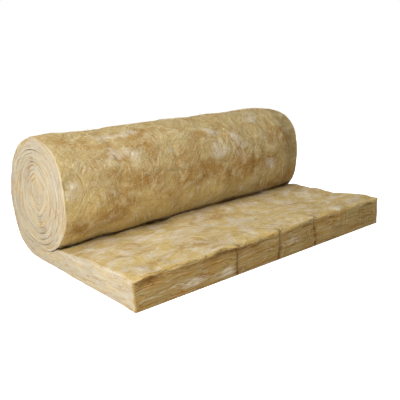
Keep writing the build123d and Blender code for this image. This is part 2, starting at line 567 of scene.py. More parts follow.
# %% [markdown]
# ## Rough up the ends
# Both ends of the roll were trimmed clean, and each layer there springs out a little between its
# neighbours, with fine ridges along it. The rim is ragged, because the skin tears in small flakes
# where the blade leaves it. A noise read along the wool coordinate gives ridges that run with
# the turns.

# %% Swell the layers on the ends and nick their rims
END_SWELL = 0.0035  # the ends stand this far proud of the CAD solid
GAP_SINK = 0.0022  # and this much less beside a gap
NICK = 0.0045

# Ridges 100 and 35 mm long along a turn, 12 and 6 mm across it.
ridges = 0.0022 * field(wool, (1.0, 0.10, 0.012), 31) + 0.0014 * field(wool, (1.0, 0.035, 0.006), 32)
outward = np.sign(base[:, 0]) * end
moved[:, 0] += outward * (END_SWELL + ridges - GAP_SINK * gap)
nicks = field(base, (1.0, 0.022, 0.022), 53) + 0.6 * field(base, (1.0, 0.010, 0.010), 54)
moved[:, 0] += NICK * outward * nicks * outside
print("ends swell by up to", round((END_SWELL + ridges[end > 0]).max(), 4))

# %% [markdown]
# ## Tear the cut end
# The end of the leaf was cut with a blunt blade, and the wool tore under it. Its top layer has
# peeled forward into a ragged lip with a dark crack under it, most of all at the near end, and
# its upper edge wanders up and down. Sculpting could do this, but a rule can say where the tear
# is weak or strong, and the stains further down use the same rule.

# %% Peel the lip, roughen the torn face and fray its upper edge
CUT_SWELL = 0.0030
LIP_REACH = 0.0090
LIP_RAGGED = 0.0075
# How far each height in the torn face stands out or falls back: a crack, then the lip above it.
LIP_HEIGHTS = [0.78, 0.88, 0.90, 0.95, 1.0]
LIP_PROFILE = [0, -1.2, -0.9, 1, 0.7]

torn = ease(0.75 + 1.4 * field(base, (0.11, 1.0, 1.0), 43)) * (0.3 + 0.7 * ease(-base[:, 0] / 0.3))
torn *= ease((half_width - np.abs(base[:, 0])) / 0.04)
high_row = np.interp(wool[:, 2] / LEAF_THICKNESS, LIP_HEIGHTS, LIP_PROFILE)
lip = torn * high_row * (LIP_REACH + LIP_RAGGED * field(base, (0.022, 1.0, 1.0), 44))
face_lumps = 0.0026 * field(wool, (0.09, 1.0, 0.035), 41) + 0.0022 * field(wool, (0.05, 1.0, 0.012), 42)
moved[:, 1] -= cut * (CUT_SWELL + lip + face_lumps * ease(base[:, 2] / 0.02))
wander = 0.008 * field(base, (0.13, 1.0, 1.0), 45) * bell(wool[:, 2] - 0.088, 0.012)
moved[:, 2] += cut * wander

near_edge = ease(1 - (base[:, 1] - front_y) / 0.035) * ease((wool[:, 2] - 0.085) / 0.015)
near_edge = np.where(in_leaf, near_edge, 0)
frayed = 0.0055 * field(base, (0.045, 0.05, 1.0), 46) + 0.003 * field(base, 0.018, 47)
moved[:, 2] += near_edge * frayed
moved[:, 1] += near_edge * 0.0055 * field(base, (0.028, 0.06, 1.0), 48)
print("lip reaches", round((cut * lip).max(), 4), "crack falls back", round((cut * lip).min(), 4))

# %% [markdown]
# ## Perforate the cut end
# Three lines of slots let the blanket be torn into narrower strips. Each line shows on the cut end
# as a dark dashed line, where the slots are cut through and small bridges of wool still hold. A
# boolean would cut them, but it would also break up the mesh round about. The slices across the
# width are narrow enough here, so a few rows of points are simply pushed in.

# %% Push in the slots and leave the bridges
SLOT_DEPTH = 0.014
BRIDGE_ROWS = SHARES[[0, 3, 6, 9, 12]]  # rows where a bridge holds

height_share = wool[:, 2, None] / LEAF_THICKNESS
bridge = np.isclose(height_share, BRIDGE_ROWS, atol=0.01).any(axis=1)
slot = np.zeros(count)
for x in slot_x:
    slot = np.maximum(slot, cut * (np.abs(base[:, 0] - x) < 0.6 * SLOT_HALF) * (base[:, 2] > 0.001))
moved[:, 1] += slot * np.where(bridge, 0.0, SLOT_DEPTH)
print("points in slots", int((slot * ~bridge).sum()))

# %% [markdown]
# ## Round the corners
# Wool has no sharp corner. A Bevel modifier would put new faces on every edge, and the ragged rim
# is too uneven for it. Pulling each point at a corner towards the middle of its neighbours, a few
# times over, rounds the corner and adds no face. Last, the underside is put back on the floor.

# %% Pull the corners in and finish the mesh
PULL = 0.3
PULLS = 3
RIM_REACH = 0.012

# The rims are rounded in full, and the open faces of the ends are smoothed a little.
rim = np.clip(end + cut, 0, 1) * np.clip(outside + gap, 0, 1) + 0.4 * end * (1 - gap)
near_rim = open_skin * ease(1 - (half_width - np.abs(base[:, 0])) / RIM_REACH)
pull = np.maximum(rim, near_rim)[:, None] * PULL * (1 - slot)[:, None]
neighbours = np.bincount(edges.ravel(), minlength=count)[:, None]
for _ in range(PULLS):
    total = np.zeros((count, 3))
    np.add.at(total, edges[:, 0], moved[edges[:, 1]])
    np.add.at(total, edges[:, 1], moved[edges[:, 0]])
    moved += pull * (total / neighbours - moved)
moved[:, 2] = np.where(base[:, 2] < 0.0001, 0.0, np.maximum(moved[:, 2], 0.0))

mesh.vertices.foreach_set("co", moved.ravel())
mesh.update()
blanket = bpy.data.objects.new("glass_wool_blanket", mesh)
bpy.context.scene.collection.objects.link(blanket)
print("size", (moved.max(axis=0) - moved.min(axis=0)).round(4), "low", moved.min(axis=0).round(4))

# %% [markdown]
# ## Mark the stains, and the shade painted into the grooves
# Glass wool is stained where its binder ran, and white where it hardly reached. The photograph
# shows such spots at certain places, and a plain noise would put them anywhere. So the mesh
# carries marks, numbers from 0 to 1 on its points, and the materials further down read them. A
# mark only leans on the noise in a material, so a stain keeps a natural outline.

# %% List the spots where the photograph shows them
# Each spot is x, y, z, its reach along the width and its reach round the roll.
WHITE_SPOTS = [
    (-0.34, -0.02, 0.38, 0.060, 0.035),
    (-0.53, -0.04, 0.31, 0.035, 0.030),
    (-0.29, 0.05, 0.43, 0.090, 0.030),
    (0.09, -0.03, 0.36, 0.050, 0.055),
    (0.19, -0.04, 0.33, 0.040, 0.065),
    (0.38, -0.04, 0.24, 0.045, 0.030),
    (0.33, 0.03, 0.42, 0.050, 0.040),
    (0.03, -0.23, 0.10, 0.150, 0.055),
    (-0.21, -0.19, 0.10, 0.220, 0.060),
    (0.43, -0.15, 0.10, 0.060, 0.030),
    (-0.57, -0.29, 0.09, 0.030, 0.022),
    (-0.24, -0.42, 0.02, 0.070, 0.020),
    (-0.40, -0.42, 0.03, 0.100, 0.018),
    (0.06, -0.42, 0.04, 0.060, 0.022),
]
OCHRE_SPOTS = [
    (-0.46, 0.03, 0.42, 0.050, 0.030),
    (-0.21, -0.02, 0.37, 0.050, 0.045),
    (-0.25, -0.05, 0.27, 0.080, 0.045),
    (-0.02, -0.04, 0.25, 0.120, 0.045),
    (0.28, -0.04, 0.24, 0.110, 0.060),
    (0.50, 0.00, 0.14, 0.080, 0.060),
    (0.44, -0.03, 0.36, 0.050, 0.050),
    (-0.53, -0.02, 0.15, 0.060, 0.050),
    (-0.40, -0.02, 0.17, 0.060, 0.030),
    (-0.01, -0.12, 0.10, 0.050, 0.030),
    (-0.24, -0.33, 0.10, 0.100, 0.030),
    (-0.46, -0.24, 0.10, 0.080, 0.030),
    (-0.52, -0.08, 0.09, 0.040, 0.020),
    (0.34, -0.22, 0.10, 0.080, 0.020),
    (-0.52, -0.42, 0.06, 0.050, 0.020),
    (-0.30, -0.42, 0.06, 0.060, 0.020),
    (0.26, -0.42, 0.07, 0.110, 0.020),
]


def spotted(spots):
    """How deep each point lies in one of some soft spots, from 0 to 1."""
    depth = np.zeros(count)
    for x, y, z, reach, round_reach in spots:
        away = ((base[:, 0] - x) / reach) ** 2
        away += ((base[:, 1] - y) ** 2 + (base[:, 2] - z) ** 2) / round_reach**2
        depth = np.maximum(depth, np.exp(-away))
    return depth


print("white spots", len(WHITE_SPOTS), "ochre spots", len(OCHRE_SPOTS))

# %% Mark the painted shade: slots, gaps, the crack under the lip, the fold, the nip and the rims
SLOT_SHADE = 2.2 * SLOT_HALF  # painted shade beside a slot
SLOT_ON_LEAF = 0.030  # how far the painted shade of a line of slots runs onto the leaf's top
# The crack under the lip gets a painted line of shade at this height, wandering up and down.
CRACK_HEIGHT = 0.081
CRACK_WANDER = 0.006
NIP_LINE = 0.008  # the roll's shadow line where it meets the leaf
DEEPEST_NIP = 0.85

near_slot = bell(np.abs(base[:, :1] - slot_x).min(axis=1), SLOT_SHADE)
frayed_slot = (1 - 0.5 * bridge) * (0.85 + 0.35 * field(base, 0.006, 51))
crack_line = CRACK_HEIGHT + CRACK_WANDER * field(base, (0.035, 1.0, 1.0), 56)
cracked = np.clip(torn * (1.8 + 1.2 * field(base, (0.020, 1.0, 1.0), 57)), 0, 0.95)
apart = np.where(in_leaf, room_top - wanted_top, base[:, 2] - wanted_top)
nip_line = bell(np.maximum(apart, 0.0), NIP_LINE + 0.003 * field(base, 0.05, 55))
nip_line *= outside * (base[:, 1] < roll_y)
# Each entry is painted shade: in the gaps between turns, beside the slots, in the crack under the lip,
# where the slot lines reach the leaf's top, inside the slots, in the fold, along the nip, and on the
# rims of the ends, where it dulls their highlight.
painted_shades = [
    0.2 * gap * (1 - np.isclose(np.abs(base[:, 0]), half_width)),
    cut * near_slot * frayed_slot,
    cut * cracked * bell(wool[:, 2] - crack_line, 0.0050),
    0.6 * leaf * near_slot * ease(1 - (base[:, 1] - front_y) / SLOT_ON_LEAF),
    slot * (1 - 0.8 * bridge),
    0.25 * fold,
    np.clip(nip_line, 0, DEEPEST_NIP),
    0.15 * end * outside,
]
painted_shade = np.maximum.reduce(painted_shades)
print("grooved points", int((painted_shade > 0.3).sum()))

# %% Mark where it is clean, where light is painted on the roll, peeled or fuzzy, and store the marks
LEAF_WHITE = 0.6  # the leaf's top is paler than the roll
LEAF_WARM = 0.6
LIP_FROM = 0.86  # share of the thickness where the peeled lip starts

white_mark = np.maximum(spotted(WHITE_SPOTS), LEAF_WHITE * leaf * (1 - cut))
# Painted light: the roll is lighter and warmer low down, as bounce light from the leaf, and darker high
# up, with less of the lighter straw towards its far end. On the leaf the mark is an even tone.
painted_light_mark = ease((0.36 - base[:, 2]) / 0.24) * (1 - 0.7 * ease(FAR_SPEED * x_share - 0.3))
painted_light_mark = np.where(in_leaf, LEAF_WARM, painted_light_mark)
in_lip = wool[:, 2] / LEAF_THICKNESS - LIP_FROM + 0.05 * field(base, (0.03, 1.0, 1.0), 52)
fuzz = np.clip(outside + 0.5 * cut + 0.3 * end, 0, 1) * (1 - gap) * (base[:, 2] > 0.01)
fuzz += 2.0 * cut * (wool[:, 2] > 0.09)

marks = {"painted_shade": painted_shade, "fuzz": fuzz, "painted_light": painted_light_mark, "lip": cut * ease(in_lip / 0.07)}
marks.update({"white": white_mark, "ochre": spotted(OCHRE_SPOTS)})
for name, values in marks.items():
    mesh.attributes.new(name, "FLOAT", "POINT")
    mesh.attributes[name].data.foreach_set("value", values)
print("marks", list(marks), "white points", int((white_mark > 0.5).sum()))

# %% [markdown]
# ## Paint the wool
# Glass wool is spun glass fibre held by a brown binder. The fibres themselves are clear and look
# white, and the binder makes them straw yellow, or brown where it has pooled. The wool scatters
# light like snow, so it has no gloss: a diffuse colour with high roughness and a little sheen.
# Subsurface scattering is left out, because wool this coarse looks like wax with it.


# %% Turn a colour to linear light
def linear(code):
    """An sRGB hex colour as linear light, the form in which a shader wants it."""
    values = [int(code[i : i + 2], 16) / 255 for i in (1, 3, 5)]
    return [v / 12.92 if v <= 0.04045 else ((v + 0.055) / 1.055) ** 2.4 for v in values] + [1.0]


STRAW = linear("#c3ab74")  # binder spread thin, most of the wool
SHADED_STRAW = linear("#b6a06f")  # the same, darker: painted shade on the upper side of the roll, and more of it towards the far end
HONEY = linear("#d2b674")  # the same, lighter: painted bounce light low on the roll, and the plain paler tone of the leaf and the peeled lip
PALE = linear("#b1a793")  # clean fibre, edge on
TUFT = linear("#d3c49b")  # clean fibre, lying in the skin
OCHRE = linear("#a37b3d")  # binder that has pooled
FROST = linear("#d8cfbe")  # white fibre with hardly any binder
SHADE_BROWN = linear("#633f14")  # painted shade: in the gaps, slots, cracks, fold and hollows, along the nip and on the rims
RUST = linear("#ab8045")  # the fine lines where a cut shows the layers
UMBER = linear("#947a3d")  # the torn end, darker: partly the wool's own binder colour, partly painted shade for a face turned from the lamps
FIBRE = linear("#e6dab8")  # single bright strands
print("straw in linear light", [round(v, 3) for v in STRAW])


# %% Add nodes
def add_node(tree, kind, settings=None, inputs=None):
    """A node with its settings and inputs. An input is a value, or an output to link to."""
    node = tree.nodes.new(kind)
    for name, value in (settings or {}).items():
        setattr(node, name, value)
    for name, value in (inputs or {}).items():
        socket = node.inputs[name]
        if isinstance(value, bpy.types.NodeSocket):
            tree.links.new(value, socket)
        else:
            socket.default_value = value
    return node


def emptied(material):
    """The material's node tree with nothing in it."""
    material.use_nodes = True
    material.node_tree.nodes.clear()
    return material.node_tree


print("materials before the paint", len(bpy.data.materials))

# %% [markdown]
# ## Two finishes of one material
# The skin of a glass-wool blanket is felted: fibres lie flat in it in swirls, over a ground that is
# mottled where the binder ran. Where the blanket was cut, its layers show edge on as fine, wavy
# lines. Both finishes read the wool coordinate, so the swirls bend round the roll and the lines
# follow each turn. Two materials with the same colours are simpler to tune than one that switches.


# %% Lay a grain along the wool
def wool_grain(tree, place, size_mm, angle, seed, detail=3.0):
    """A noise from 0 to 1 with grains of this size, turned by an angle across the skin."""
    size = [v / 1000 for v in size_mm]
    laid = {"Vector": place, "Rotation": (0.0, 0.0, math.radians(angle)), "Scale": size}
    turned = add_node(tree, "ShaderNodeMapping", {"vector_type": "TEXTURE"}, laid)
    grain = {"Vector": turned.outputs[0], "W": seed, "Scale": 1.0, "Detail": detail}
    grain["Roughness"] = 0.62
    return add_node(tree, "ShaderNodeTexNoise", {"noise_dimensions": "4D"}, grain).outputs[0]


print("pale fibre in linear light", [round(v, 3) for v in PALE])


# %% Push the coordinate about, and lay one colour over another
def pushed_about(tree, place, scale, detail, reach):
    """The wool coordinate, moved by up to half a reach, so that what reads it swirls or waves."""
    push = {"Vector": place, "Scale": scale, "Detail": detail}
    push = {0: add_node(tree, "ShaderNodeTexNoise", inputs=push).outputs["Color"], 1: (0.5,) * 3}
    push = add_node(tree, "ShaderNodeVectorMath", {"operation": "SUBTRACT"}, push).outputs[0]
    push = {0: push, 1: reach, 2: place}
    return add_node(tree, "ShaderNodeVectorMath", {"operation": "MULTIPLY_ADD"}, push).outputs[0]


def stain(tree, ground, colour, value, first, last, most=1.0):
    """The ground with a colour over it: none of it where the value is first, most at last."""
    amount = {"Value": value, 1: first, 2: last, 3: 0.0, 4: most}
    amount = add_node(tree, "ShaderNodeMapRange", inputs=amount).outputs[0]
    layers = {"Fac": amount, "Color1": ground, "Color2": colour}
    return add_node(tree, "ShaderNodeMixRGB", inputs=layers).outputs[0]


print("brown in linear light", [round(v, 3) for v in SHADE_BROWN])


# %% Read the marks, and finish the surface
def marked(tree, name, value, strength):
    """The value, raised where the mesh carries a mark of this name."""
    mark = add_node(tree, "ShaderNodeAttribute", {"attribute_name": name}).outputs["Fac"]
    raised = {0: mark, 1: strength, 2: value}
    return add_node(tree, "ShaderNodeMath", {"operation": "MULTIPLY_ADD"}, raised).outputs[0]


def wool_surface(tree, colour, height, depth):
    """A matt, slightly downy surface with this colour and this relief, depth metres deep.

    The fibres are glass, with an index of refraction near the shader's own 1.5, but they lie in
    all directions, so hardly any mirror light is left.
    """
    painted_shade = add_node(tree, "ShaderNodeAttribute", {"attribute_name": "painted_shade"}).outputs["Fac"]
    # Painted shade: where the mesh is marked, the colour darkens to a deep brown.
    colour = stain(tree, colour, SHADE_BROWN, painted_shade, 0.0, 1.0, 0.9)
    relief = add_node(tree, "ShaderNodeBump", inputs={"Height": height, "Distance": depth})
    downy = {"Base Color": colour, "Roughness": 0.92, "Normal": relief.outputs[0]}
    downy.update({"Sheen Weight": 0.04, "Sheen Roughness": 0.6, "Sheen Tint": STRAW})
    downy["Specular IOR Level"] = 0.1
    surface = add_node(tree, "ShaderNodeBsdfPrincipled", inputs=downy)
    add_node(tree, "ShaderNodeOutputMaterial", inputs={"Surface": surface.outputs[0]})


print("marks to read", list(marks))

# %% [markdown]
# ## The felted skin
# Felted glass wool gives the eye three things: mottling a hand's width across where the binder
# ran, long hanks that were drawn the same way when the fibre was spun, and single strands on top.
# A photographed texture would show all that at once, but it would repeat and carry its own light.
# Here each is a noise with grains of its real size, stretched along the way the fibres lie. Real
# fibres are far thinner than a millimetre. The strands are drawn 4 mm wide, so that they show.

# %% Swirl the coordinate and lay crossing strands
felted = bpy.data.materials.new("felted glass wool skin")  # matt, mottled and full of strands
tree = emptied(felted)
place = add_node(tree, "ShaderNodeAttribute", {"attribute_name": "wool"}).outputs["Vector"]
swirled = pushed_about(tree, place, 6.0, 2.5, (0.07, 0.07, 0.0))  # swirls some 170 mm across

# Three sets of thin grains that cross. The highest of the three at a place is a bright strand on top,
# and the lowest is a hollow between strands, which gets painted shade.
strands = [
    wool_grain(tree, swirled, (60, 4.2, 100), 15, 4, 5.0),
    wool_grain(tree, swirled, (55, 4.0, 100), 80, 5, 5.0),
    wool_grain(tree, swirled, (50, 3.8, 100), -40, 6, 5.0),
]
bright, hollow = strands[0], strands[0]
for strand in strands[1:]:
    pair = {0: bright, 1: strand}
    bright = add_node(tree, "ShaderNodeMath", {"operation": "MAXIMUM"}, pair).outputs[0]
    pair = {0: hollow, 1: strand}
    hollow = add_node(tree, "ShaderNodeMath", {"operation": "MINIMUM"}, pair).outputs[0]
matted = add_node(tree, "ShaderNodeMath", {"operation": "ADD"}, {0: bright, 1: hollow}).outputs[0]
print("sets of strands", len(strands))

# %% Make what shows weaker on the leaf
# How strong each of these is on the leaf and on the roll. Between them it changes softly.
SKIN_STRENGTHS = {"hanks": (0.15, 0.9), "binder": (0.65, 0.95), "hollows": (0.45, 0.78)}
LEAF_END, ROLL_START = 0.55, 0.75  # metres along the blanket

length = add_node(tree, "ShaderNodeSeparateXYZ", inputs={0: place}).outputs["Y"]
strength_of = {}
for name, (on_leaf, on_roll) in SKIN_STRENGTHS.items():
    change = {"Value": length, 1: LEAF_END, 2: ROLL_START, 3: on_leaf, 4: on_roll}
    strength_of[name] = add_node(tree, "ShaderNodeMapRange", inputs=change).outputs[0]
print("strengths of", list(strength_of))

# %% Draw hanks in patches
hanks = wool_grain(tree, swirled, (100, 9.0, 100), 75, 9, 5.0)
crossing = wool_grain(tree, swirled, (120, 8.0, 100), -50, 10, 5.0)
which_way = wool_grain(tree, place, (110, 110, 100), 0, 17, 1.0)
hanks = stain(tree, hanks, crossing, which_way, 0.46, 0.54)
drawn = wool_grain(tree, place, (140, 100, 100), 0, 18, 2.0)
drawn = {"Value": drawn, 1: 0.42, 2: 0.60, 3: 0.10, 4: strength_of["hanks"]}
drawn = add_node(tree, "ShaderNodeMapRange", inputs=drawn).outputs[0]
print("nodes so far", len(tree.nodes))

# %% Mottle the ground and lay the colours over each other
pooled = marked(tree, "ochre", wool_grain(tree, swirled, (160, 100, 100), 10, 1, 5.0), 0.19)
tufts = wool_grain(tree, swirled, (55, 35, 100), -20, 2, 5.0)
white = marked(tree, "white", wool_grain(tree, swirled, (70, 50, 100), 25, 3, 5.0), 0.21)
streaks = {0: bright, 1: 0.14, 2: white}
white = add_node(tree, "ShaderNodeMath", {"operation": "MULTIPLY_ADD"}, streaks).outputs[0]
painted_light = add_node(tree, "ShaderNodeAttribute", {"attribute_name": "painted_light"}).outputs["Fac"]

# Painted light and shade: the darker straw high on the roll, the lighter straw low on it.
ground = {"Fac": painted_light, "Color1": SHADED_STRAW, "Color2": HONEY}
ground = add_node(tree, "ShaderNodeMixRGB", inputs=ground).outputs[0]
ground = stain(tree, ground, OCHRE, pooled, 0.49, 0.68, strength_of["binder"])
ground = stain(tree, ground, TUFT, tufts, 0.50, 0.66, 0.7)
ground = stain(tree, ground, FROST, white, 0.66, 0.86, 0.8)
ground = stain(tree, ground, OCHRE, hanks, 0.49, 0.36, drawn)
ground = stain(tree, ground, TUFT, hanks, 0.53, 0.66, drawn)
ground = stain(tree, ground, FIBRE, bright, 0.59, 0.72, 0.85)
# Painted shade in the hollows between strands.
ground = stain(tree, ground, SHADE_BROWN, hollow, 0.41, 0.27, strength_of["hollows"])

height = {0: tufts, 1: 2.4, 2: matted}
height = add_node(tree, "ShaderNodeMath", {"operation": "MULTIPLY_ADD"}, height).outputs[0]
wool_surface(tree, ground, height, 0.006)
print("felted skin nodes", len(tree.nodes))

# %% [markdown]
# ## The cut layers
# Edge on, a blanket is a stack of thin layers, as in flaky pastry. On the ends of the roll they are
# pale and even, because they were trimmed clean. On the torn end of the leaf they are darker, partly
# from the wool's own colour and partly from painted shade, with rust lines, and with painted shade in
# its open cracks and between its layers. Both are one material that reads how far along the blanket a
# place lies: the torn end is where that length is nil. A real layer is about a millimetre thick. It is
# drawn 4 mm thick, so that it shows.

# %% Stain the ground under the layers
# How strong each of these is on the clean ends of the roll and on the torn end of the leaf.
CUT_STRENGTHS = {"patches": (0.35, 0.8), "rust": (0.16, 0.9), "layer_shade": (0.0, 0.7)}

layered = bpy.data.materials.new("cut glass wool layers")  # matt, with fine lines along each turn
tree = emptied(layered)
place = add_node(tree, "ShaderNodeAttribute", {"attribute_name": "wool"}).outputs["Vector"]
wavy = pushed_about(tree, place, 11.0, 3.0, (0.0, 0.0, 0.016))  # waves some 90 mm long

split = add_node(tree, "ShaderNodeSeparateXYZ", inputs={0: place}).outputs
torn_end = {"Value": split["Y"], 1: 0.006, 2: 0.0}
torn_end = add_node(tree, "ShaderNodeMapRange", inputs=torn_end).outputs[0]
for name, (on_ends, on_torn_end) in CUT_STRENGTHS.items():
    change = {"Value": torn_end, 1: 0.0, 2: 1.0, 3: on_ends, 4: on_torn_end}
    strength_of[name] = add_node(tree, "ShaderNodeMapRange", inputs=change).outputs[0]

mottle = wool_grain(tree, wavy, (120, 120, 30), 0, 11, 5.0)
pooled = marked(tree, "ochre", wool_grain(tree, wavy, (90, 90, 20), 0, 15, 4.0), 0.14)
white = marked(tree, "white", wool_grain(tree, wavy, (100, 100, 20), 0, 12, 4.0), 0.16)
ground = stain(tree, PALE, STRAW, mottle, 0.45, 0.70, 0.6)
# The torn end turns darker: partly the wool's own colour, partly painted shade.
ground = stain(tree, ground, UMBER, torn_end, 0.0, 1.0, 0.85)
ground = stain(tree, ground, OCHRE, pooled, 0.52, 0.66, strength_of["patches"])
print("ground nodes", len(tree.nodes))

# %% Score the torn end and lighten its lip
# The blade left upright scores on the far half of the torn end.
scored = {"Value": split["X"], 1: 0.05, 2: 0.45, 3: 0.0, 4: 0.55}
scored = add_node(tree, "ShaderNodeMapRange", inputs=scored).outputs[0]
scores = {"Value": wool_grain(tree, place, (6, 100, 90), 0, 16), 1: 0.40, 2: 0.62, 3: 0.0, 4: scored}
scores = {0: add_node(tree, "ShaderNodeMapRange", inputs=scores).outputs[0], 1: torn_end}
scores = add_node(tree, "ShaderNodeMath", {"operation": "MULTIPLY"}, scores).outputs[0]
ground = {"Fac": scores, "Color1": ground, "Color2": STRAW}
ground = add_node(tree, "ShaderNodeMixRGB", inputs=ground).outputs[0]
ground = stain(tree, ground, FROST, white, 0.58, 0.78, strength_of["patches"])
lip = add_node(tree, "ShaderNodeAttribute", {"attribute_name": "lip"}).outputs["Fac"]
ground = stain(tree, ground, HONEY, lip, 0.0, 1.0, 0.75)
print("scored nodes", len(tree.nodes))

# %% Draw the layers and the cracks between them
layers = wool_grain(tree, wavy, (120, 120, 4.0), 0, 13, 5.0)
ground = stain(tree, ground, RUST, layers, 0.48, 0.34, strength_of["rust"])
ground = stain(tree, ground, FIBRE, layers, 0.54, 0.70, 0.45)

# A crack runs where a slower noise passes through its middle value.
parting = {0: wool_grain(tree, wavy, (160, 160, 20), 0, 14, 2.0), 1: 0.5}
parting = add_node(tree, "ShaderNodeMath", {"operation": "SUBTRACT"}, parting).outputs[0]
parting = add_node(tree, "ShaderNodeMath", {"operation": "ABSOLUTE"}, {0: parting}).outputs[0]
crack = {"Value": parting, 1: 0.014, 2: 0.0}
crack = {0: add_node(tree, "ShaderNodeMapRange", inputs=crack).outputs[0], 1: 0.35}
crack = add_node(tree, "ShaderNodeMath", {"operation": "MULTIPLY"}, crack).outputs[0]
opened = {0: crack, 1: torn_end}
opened = add_node(tree, "ShaderNodeMath", {"operation": "MULTIPLY"}, opened).outputs[0]
ground = stain(tree, ground, RUST, crack, 0.0, 0.45)
# Painted shade in the open cracks of the torn end.
ground = stain(tree, ground, SHADE_BROWN, opened, 0.0, 0.35, 0.6)
# Painted shade in the hollows between the layers, strongest on the torn end.
ground = stain(tree, ground, SHADE_BROWN, layers, 0.45, 0.30, strength_of["layer_shade"])

height = add_node(tree, "ShaderNodeMath", {"operation": "SUBTRACT"}, {0: layers, 1: crack})
wool_surface(tree, ground, height.outputs[0], 0.0035)
print("cut layer nodes", len(tree.nodes))

# %% [markdown]
# ## Dress the blanket
# The faces that show the wool edge on get the second finish, and all others the first. Then the CAD
# solid is hidden, and this mesh stands in its place, hung on the root body.

# %% Give the blanket its finishes and its place in the frame
mesh.materials.append(felted)
mesh.materials.append(layered)
edge_on = np.isin(kind, [KINDS["cut"], KINDS["end"], KINDS["gap"]]).astype(int)
mesh.polygons.foreach_set("material_index", edge_on)
mesh.polygons.foreach_set("use_smooth", [True] * len(mesh.polygons))
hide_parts("wool_blanket")
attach(blanket, "root")
print("faces edge on", int(edge_on.sum()))

# %% [markdown]
# ## Loose fibres
# Fibres work loose all over a glass-wool blanket, most of all along its torn edge. On the real
# thing they are thinner than a hair and cling together, so each strand here is one such bundle, a
# tapered, bent wisp with three sides. Hair curves would be lighter, but the export keeps only
# meshes. Geometry Nodes scatters the wisps over the blanket where the mesh is marked as fuzzy,
# turns each at random, and lets a noise bend them all differently.

# %% Start the tree with its named inputs
grower_tree = bpy.data.node_groups.new("loose glass fibres", "GeometryNodeTree")
sockets = grower_tree.interface
sockets.new_socket("Mesh", in_out="INPUT", socket_type="NodeSocketGeometry")
for name in ("Per Square Metre", "Shortest", "Longest", "Thickness", "Bend"):
    sockets.new_socket(name, in_out="INPUT", socket_type="NodeSocketFloat")
sockets.new_socket("Seed", in_out="INPUT", socket_type="NodeSocketInt")
sockets.new_socket("Material", in_out="INPUT", socket_type="NodeSocketMaterial")
sockets.new_socket("Fibres", in_out="OUTPUT", socket_type="NodeSocketGeometry")
given = add_node(grower_tree, "NodeGroupInput").outputs
print("inputs", [socket.name for socket in given if socket.name])

# %% Scatter points where the wool is fuzzy
fuzzy = {"Name": "fuzz"}
fuzzy = add_node(grower_tree, "GeometryNodeInputNamedAttribute", {"data_type": "FLOAT"}, fuzzy)
density = {0: fuzzy.outputs["Attribute"], 1: given["Per Square Metre"]}
density = add_node(grower_tree, "ShaderNodeMath", {"operation": "MULTIPLY"}, density).outputs[0]
scatter = {"Mesh": given["Mesh"], "Density": density, "Seed": given["Seed"]}
scatter = add_node(grower_tree, "GeometryNodeDistributePointsOnFaces", inputs=scatter).outputs
print("nodes", len(grower_tree.nodes))

# %% Shape one wisp, a metre long until it is scaled
bow = {"Resolution": 6, "Start": (-0.5, 0, 0), "Middle": (0.05, 0.30, 0.10), "End": (0.5, 0.05, 0)}
bow = add_node(grower_tree, "GeometryNodeCurveQuadraticBezier", inputs=bow).outputs[0]
along_wisp = add_node(grower_tree, "GeometryNodeSplineParameter").outputs["Factor"]
late = {"Value": along_wisp, 1: 0.5, 2: 1.02, 3: 1.0, 4: 0.15}
late = add_node(grower_tree, "ShaderNodeMapRange", inputs=late).outputs[0]
early = {"Value": along_wisp, 1: -0.02, 2: 0.5, 3: 0.15, 4: 1.0}
early = add_node(grower_tree, "ShaderNodeMapRange", inputs=early).outputs[0]
taper = {0: late, 1: early}
taper = add_node(grower_tree, "ShaderNodeMath", {"operation": "MULTIPLY"}, taper).outputs[0]
wisp = {"Curve": bow, "Radius": taper}
wisp = add_node(grower_tree, "GeometryNodeSetCurveRadius", inputs=wisp).outputs[0]
ring = {"Resolution": 3, "Radius": given["Thickness"]}
ring = add_node(grower_tree, "GeometryNodeCurvePrimitiveCircle", {"mode": "RADIUS"}, ring).outputs[0]
wisp = {"Curve": wisp, "Profile Curve": ring, "Fill Caps": True}
wisp = add_node(grower_tree, "GeometryNodeCurveToMesh", inputs=wisp).outputs[0]
print("nodes with the wisp", len(grower_tree.nodes))

# %% Strew the wisps, each turned and sized at random
TILT = 0.12  # radians out of the surface, at most

aside = {0: (-TILT, -TILT, 0.0), 1: (TILT, TILT, math.tau)}
aside = add_node(grower_tree, "FunctionNodeRandomValue", {"data_type": "FLOAT_VECTOR"}, aside)
aside = add_node(grower_tree, "FunctionNodeEulerToRotation", inputs={0: aside.outputs[0]})
turned = {"Rotation": scatter["Rotation"], "Rotate By": aside.outputs[0]}
turned = add_node(grower_tree, "FunctionNodeRotateRotation", {"rotation_space": "LOCAL"}, turned)
size = {2: given["Shortest"], 3: given["Longest"]}
size = add_node(grower_tree, "FunctionNodeRandomValue", {"data_type": "FLOAT"}, size).outputs[1]
strewn = {"Points": scatter["Points"], "Instance": wisp, "Rotation": turned.outputs[0]}
strewn["Scale"] = size
strewn = add_node(grower_tree, "GeometryNodeInstanceOnPoints", inputs=strewn).outputs[0]
strewn = {"Geometry": strewn}
strewn = add_node(grower_tree, "GeometryNodeRealizeInstances", inputs=strewn).outputs[0]
print("nodes with the scatter", len(grower_tree.nodes))

# %% Bend the wisps and keep them off the floor
FLOOR_GAP = 0.001

